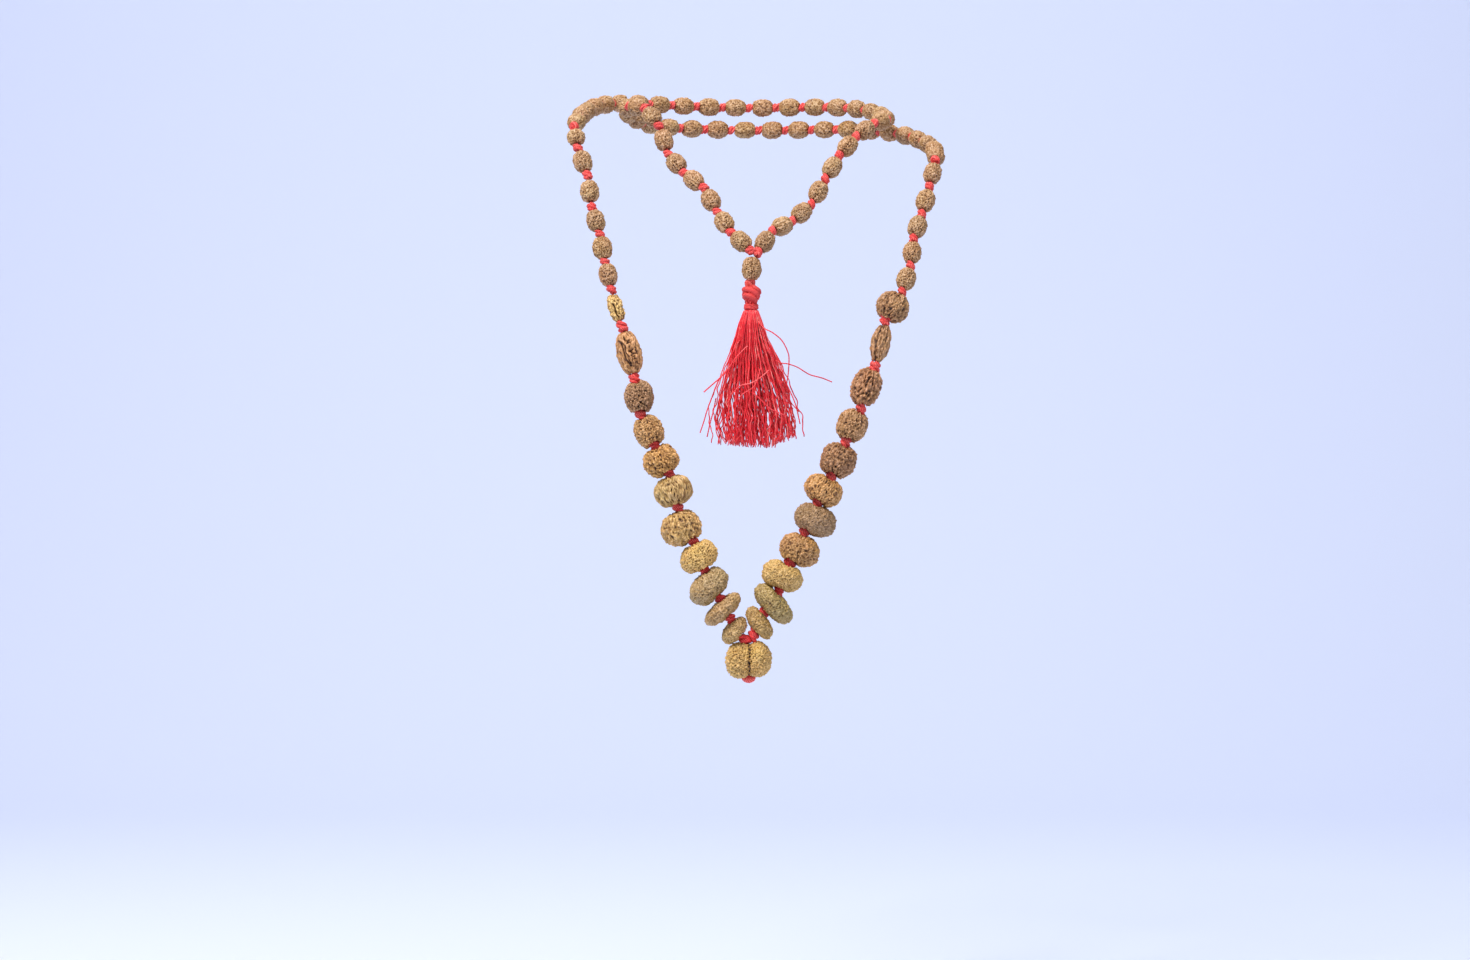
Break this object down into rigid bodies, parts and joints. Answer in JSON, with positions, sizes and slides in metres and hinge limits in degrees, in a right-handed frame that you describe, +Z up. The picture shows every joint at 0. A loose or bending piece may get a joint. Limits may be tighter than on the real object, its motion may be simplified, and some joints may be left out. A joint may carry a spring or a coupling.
{
  "type": "mala prayer beads",
  "caption": "Knotted string of wrinkled seed beads worn doubled round the neck: large seeds on the outer loop, a two-lobed bottom seed, a guru bead and a red silk tassel.",
  "frame": {"origin": "at the nape, on the inner side of the two strands where they cross behind the neck", "axes": "+Z up with the mala worn, -Y the way the wearer faces, +X to the viewer's right"},
  "size_m": [0.173, 0.1425, 0.2775],
  "materials": {
    "small_seed": "natural wrinkled seed, lightly oiled",
    "large_seed": "natural wrinkled and grooved seed, lightly oiled",
    "red_cord": "plied red thread, knotted",
    "tassel_silk": "glossy twisted silk thread"
  },
  "bodies": {
    "root": {"back_strand_upper": "small_seed", "back_strand_lower": "small_seed"},
    "outer_upper": {"outer_upper_left_run": "small_seed", "outer_upper_right_run": "small_seed"},
    "outer_middle": {"left_middle_cord": "red_cord", "right_middle_cord": "red_cord"},
    "outer_lower": {"left_lower_cord": "red_cord", "right_lower_cord": "red_cord"},
    "outer_point": {"left_point_cord": "red_cord", "right_point_cord": "red_cord"},
    "bottom_tie": {"bottom_tie_cord": "red_cord"},
    "inner_upper": {"inner_left_cord": "red_cord", "inner_right_cord": "red_cord"},
    "inner_v": {"inner_v_cord": "red_cord"},
    "pendant": {"guru_cord": "red_cord"},
    "tassel_head": {"tassel_ball_knot": "red_cord"},
    "tassel": {"tassel_binding": "red_cord", "tassel_skirt": "tassel_silk"},
    "left_seed_01": {"left_seed_01": "large_seed"},
    "left_seed_02": {"left_seed_02": "large_seed"},
    "left_seed_03": {"left_seed_03": "large_seed"},
    "left_seed_04": {"left_seed_04": "large_seed"},
    "left_seed_05": {"left_seed_05": "large_seed"},
    "left_seed_06": {"left_seed_06": "large_seed"},
    "left_seed_07": {"left_seed_07": "large_seed"},
    "left_seed_08": {"left_seed_08": "large_seed"},
    "left_seed_09": {"left_seed_09": "large_seed"},
    "left_seed_10": {"left_seed_10": "large_seed"},
    "left_seed_11": {"left_seed_11": "large_seed"},
    "right_seed_01": {"right_seed_01": "large_seed"},
    "right_seed_02": {"right_seed_02": "large_seed"},
    "right_seed_03": {"right_seed_03": "large_seed"},
    "right_seed_04": {"right_seed_04": "large_seed"},
    "right_seed_05": {"right_seed_05": "large_seed"},
    "right_seed_06": {"right_seed_06": "large_seed"},
    "right_seed_07": {"right_seed_07": "large_seed"},
    "right_seed_08": {"right_seed_08": "large_seed"},
    "right_seed_09": {"right_seed_09": "large_seed"},
    "right_seed_10": {"right_seed_10": "large_seed"},
    "right_seed_11": {"right_seed_11": "large_seed"},
    "bottom_double_seed": {"bottom_double_seed": "large_seed"},
    "inner_left_seed_1": {"inner_left_seed_1": "small_seed"},
    "inner_left_seed_2": {"inner_left_seed_2": "small_seed"},
    "inner_left_seed_3": {"inner_left_seed_3": "small_seed"},
    "inner_left_seed_4": {"inner_left_seed_4": "small_seed"},
    "inner_left_seed_5": {"inner_left_seed_5": "small_seed"},
    "inner_left_seed_6": {"inner_left_seed_6": "small_seed"},
    "inner_left_seed_7": {"inner_left_seed_7": "small_seed"},
    "inner_right_seed_1": {"inner_right_seed_1": "small_seed"},
    "inner_right_seed_2": {"inner_right_seed_2": "small_seed"},
    "inner_right_seed_3": {"inner_right_seed_3": "small_seed"},
    "inner_right_seed_4": {"inner_right_seed_4": "small_seed"},
    "inner_right_seed_5": {"inner_right_seed_5": "small_seed"},
    "inner_right_seed_6": {"inner_right_seed_6": "small_seed"},
    "inner_right_seed_7": {"inner_right_seed_7": "small_seed"},
    "guru_bead": {"guru_bead": "small_seed"}
  },
  "joints": [
    {"name": "outer_shoulder_flex", "type": "hinge", "parent": "root", "child": "outer_upper", "pos_m": [0.00136, -0.097, -0.02193], "axis": [-0.9957, 0, 0.0923], "range_deg": [0, 30]},
    {"name": "outer_middle_flex", "type": "hinge", "parent": "outer_upper", "child": "outer_middle", "pos_m": [0.00205, -0.121, -0.09073], "axis": [-0.9999, 0, 0.012], "range_deg": [0, 20]},
    {"name": "outer_lower_flex", "type": "hinge", "parent": "outer_middle", "child": "outer_lower", "pos_m": [-0.00072, -0.125, -0.16007], "axis": [-0.9998, 0, -0.0215], "range_deg": [0, 16]},
    {"name": "outer_point_flex", "type": "hinge", "parent": "outer_lower", "child": "outer_point", "pos_m": [-0.00137, -0.125, -0.20179], "axis": [-0.9962, 0, -0.0874], "range_deg": [0, 14]},
    {"name": "bottom_seed_swing", "type": "hinge", "parent": "outer_point", "child": "bottom_tie", "pos_m": [-0.00133, -0.125, -0.24681], "axis": [-0.9003, 0, -0.4353], "range_deg": [-8, 8]},
    {"name": "inner_neck_flex", "type": "hinge", "parent": "root", "child": "inner_upper", "pos_m": [0.00368, -0.07475, -0.00687], "axis": [-0.9978, -0.0047, 0.0659], "range_deg": [0, 30]},
    {"name": "inner_v_flex", "type": "hinge", "parent": "inner_upper", "child": "inner_v", "pos_m": [0.00602, -0.09825, -0.04051], "axis": [-0.9877, -0.1331, -0.0825], "range_deg": [0, 20]},
    {"name": "pendant_swing", "type": "hinge", "parent": "inner_v", "child": "pendant", "pos_m": [0.00105, -0.118, -0.07299], "axis": [-0.9605, 0, 0.2784], "range_deg": [-5, 25]},
    {"name": "tassel_side_swing", "type": "hinge", "parent": "pendant", "child": "tassel_head", "pos_m": [-0.00035, -0.118, -0.0871], "axis": [0, 1, 0], "range_deg": [-15, 15]},
    {"name": "tassel_front_swing", "type": "hinge", "parent": "tassel_head", "child": "tassel", "pos_m": [-0.00035, -0.118, -0.0966], "axis": [-1, 0, 0], "range_deg": [-5, 20]},
    {"name": "spin_left_seed_01", "type": "hinge", "parent": "outer_middle", "child": "left_seed_01", "pos_m": [-0.06101, -0.1221, -0.0986], "axis": [0.2747, -0.121, -0.9539], "continuous": true},
    {"name": "spin_left_seed_02", "type": "hinge", "parent": "outer_middle", "child": "left_seed_02", "pos_m": [-0.0557, -0.1239, -0.11892], "axis": [0.2345, -0.0583, -0.9704], "continuous": true},
    {"name": "spin_left_seed_03", "type": "hinge", "parent": "outer_middle", "child": "left_seed_03", "pos_m": [-0.05151, -0.1248, -0.13869], "axis": [0.1672, -0.0243, -0.9856], "continuous": true},
    {"name": "spin_left_seed_04", "type": "hinge", "parent": "outer_middle", "child": "left_seed_04", "pos_m": [-0.04689, -0.125, -0.15391], "axis": [0.4158, 0, -0.9095], "continuous": true},
    {"name": "spin_left_seed_05", "type": "hinge", "parent": "outer_lower", "child": "left_seed_05", "pos_m": [-0.0405, -0.125, -0.16734], "axis": [0.4447, 0, -0.8957], "continuous": true},
    {"name": "spin_left_seed_06", "type": "hinge", "parent": "outer_lower", "child": "left_seed_06", "pos_m": [-0.03533, -0.125, -0.18116], "axis": [0.2616, 0, -0.9652], "continuous": true},
    {"name": "spin_left_seed_07", "type": "hinge", "parent": "outer_lower", "child": "left_seed_07", "pos_m": [-0.02977, -0.125, -0.1963], "axis": [0.4182, 0, -0.9083], "continuous": true},
    {"name": "spin_left_seed_08", "type": "hinge", "parent": "outer_point", "child": "left_seed_08", "pos_m": [-0.02392, -0.125, -0.21036], "axis": [0.3409, 0, -0.9401], "continuous": true},
    {"name": "spin_left_seed_09", "type": "hinge", "parent": "outer_point", "child": "left_seed_09", "pos_m": [-0.01795, -0.125, -0.22318], "axis": [0.4929, 0, -0.8701], "continuous": true},
    {"name": "spin_left_seed_10", "type": "hinge", "parent": "outer_point", "child": "left_seed_10", "pos_m": [-0.01179, -0.125, -0.2343], "axis": [0.4741, 0, -0.8805], "continuous": true},
    {"name": "spin_left_seed_11", "type": "hinge", "parent": "outer_point", "child": "left_seed_11", "pos_m": [-0.00632, -0.125, -0.24339], "axis": [0.5557, 0, -0.8314], "range_deg": [-25, 25]},
    {"name": "spin_right_seed_01", "type": "hinge", "parent": "outer_middle", "child": "right_seed_01", "pos_m": [0.06382, -0.122, -0.09774], "axis": [-0.5149, -0.1359, -0.8464], "continuous": true},
    {"name": "spin_right_seed_02", "type": "hinge", "parent": "outer_middle", "child": "right_seed_02", "pos_m": [0.0577, -0.12375, -0.11468], "axis": [-0.2121, -0.0683, -0.9748], "continuous": true},
    {"name": "spin_right_seed_03", "type": "hinge", "parent": "outer_middle", "child": "right_seed_03", "pos_m": [0.05221, -0.12475, -0.13462], "axis": [-0.3237, -0.0256, -0.9458], "continuous": true},
    {"name": "spin_right_seed_04", "type": "hinge", "parent": "outer_middle", "child": "right_seed_04", "pos_m": [0.04563, -0.125, -0.1515], "axis": [-0.4081, 0, -0.9129], "continuous": true},
    {"name": "spin_right_seed_05", "type": "hinge", "parent": "outer_lower", "child": "right_seed_05", "pos_m": [0.03895, -0.125, -0.16684], "axis": [-0.3903, 0, -0.9207], "continuous": true},
    {"name": "spin_right_seed_06", "type": "hinge", "parent": "outer_lower", "child": "right_seed_06", "pos_m": [0.03265, -0.125, -0.18052], "axis": [-0.4526, 0, -0.8917], "continuous": true},
    {"name": "spin_right_seed_07", "type": "hinge", "parent": "outer_lower", "child": "right_seed_07", "pos_m": [0.02655, -0.125, -0.19306], "axis": [-0.4234, 0, -0.9059], "continuous": true},
    {"name": "spin_right_seed_08", "type": "hinge", "parent": "outer_point", "child": "right_seed_08", "pos_m": [0.02027, -0.125, -0.20658], "axis": [-0.4189, 0, -0.908], "continuous": true},
    {"name": "spin_right_seed_09", "type": "hinge", "parent": "outer_point", "child": "right_seed_09", "pos_m": [0.01442, -0.125, -0.21992], "axis": [-0.3821, 0, -0.9241], "continuous": true},
    {"name": "spin_right_seed_10", "type": "hinge", "parent": "outer_point", "child": "right_seed_10", "pos_m": [0.0086, -0.125, -0.23097], "axis": [-0.5638, 0, -0.8259], "continuous": true},
    {"name": "spin_right_seed_11", "type": "hinge", "parent": "outer_point", "child": "right_seed_11", "pos_m": [0.00306, -0.125, -0.24074], "axis": [-0.418, 0, -0.9084], "range_deg": [-25, 25]},
    {"name": "spin_bottom_double_seed", "type": "hinge", "parent": "bottom_tie", "child": "bottom_double_seed", "pos_m": [-0.00155, -0.125, -0.257], "axis": [0, 0, -1], "continuous": true},
    {"name": "spin_inner_left_seed_1", "type": "hinge", "parent": "inner_upper", "child": "inner_left_seed_1", "pos_m": [-0.04614, -0.07875, -0.0079], "axis": [0.4857, -0.5569, -0.6737], "continuous": true},
    {"name": "spin_inner_left_seed_2", "type": "hinge", "parent": "inner_upper", "child": "inner_left_seed_2", "pos_m": [-0.04052, -0.0855, -0.01939], "axis": [0.2963, -0.3782, -0.877], "continuous": true},
    {"name": "spin_inner_left_seed_3", "type": "hinge", "parent": "inner_upper", "child": "inner_left_seed_3", "pos_m": [-0.03461, -0.092, -0.03082], "axis": [0.5309, -0.5224, -0.6673], "continuous": true},
    {"name": "spin_inner_left_seed_4", "type": "hinge", "parent": "inner_upper", "child": "inner_left_seed_4", "pos_m": [-0.02643, -0.09875, -0.03906], "axis": [0.6801, -0.4785, -0.5554], "continuous": true},
    {"name": "spin_inner_left_seed_5", "type": "hinge", "parent": "inner_v", "child": "inner_left_seed_5", "pos_m": [-0.01869, -0.10475, -0.0487], "axis": [0.4342, -0.3825, -0.8156], "continuous": true},
    {"name": "spin_inner_left_seed_6", "type": "hinge", "parent": "inner_v", "child": "inner_left_seed_6", "pos_m": [-0.01249, -0.11025, -0.05925], "axis": [0.4925, -0.4403, -0.7507], "continuous": true},
    {"name": "spin_inner_left_seed_7", "type": "hinge", "parent": "inner_v", "child": "inner_left_seed_7", "pos_m": [-0.00496, -0.1155, -0.06824], "axis": [0.6673, -0.3744, -0.6439], "continuous": true},
    {"name": "spin_inner_right_seed_1", "type": "hinge", "parent": "inner_upper", "child": "inner_right_seed_1", "pos_m": [0.05256, -0.0785, -0.01395], "axis": [-0.6178, -0.5863, -0.5239], "continuous": true},
    {"name": "spin_inner_right_seed_2", "type": "hinge", "parent": "inner_upper", "child": "inner_right_seed_2", "pos_m": [0.0443, -0.086, -0.02224], "axis": [-0.5671, -0.491, -0.6612], "continuous": true},
    {"name": "spin_inner_right_seed_3", "type": "hinge", "parent": "inner_upper", "child": "inner_right_seed_3", "pos_m": [0.03706, -0.092, -0.03257], "axis": [-0.4618, -0.3608, -0.8103], "continuous": true},
    {"name": "spin_inner_right_seed_4", "type": "hinge", "parent": "inner_v", "child": "inner_right_seed_4", "pos_m": [0.03051, -0.0965, -0.04418], "axis": [-0.4684, -0.2795, -0.8381], "continuous": true},
    {"name": "spin_inner_right_seed_5", "type": "hinge", "parent": "inner_v", "child": "inner_right_seed_5", "pos_m": [0.02275, -0.1015, -0.05423], "axis": [-0.6574, -0.448, -0.6059], "continuous": true},
    {"name": "spin_inner_right_seed_6", "type": "hinge", "parent": "inner_v", "child": "inner_right_seed_6", "pos_m": [0.01375, -0.108, -0.06081], "axis": [-0.7296, -0.5551, -0.3995], "continuous": true},
    {"name": "spin_inner_right_seed_7", "type": "hinge", "parent": "inner_v", "child": "inner_right_seed_7", "pos_m": [0.00588, -0.11475, -0.06839], "axis": [-0.4777, -0.475, -0.7391], "continuous": true},
    {"name": "spin_guru_bead", "type": "hinge", "parent": "pendant", "child": "guru_bead", "pos_m": [-0.00013, -0.118, -0.0805], "axis": [0, 0, -1], "continuous": true}
  ]
}
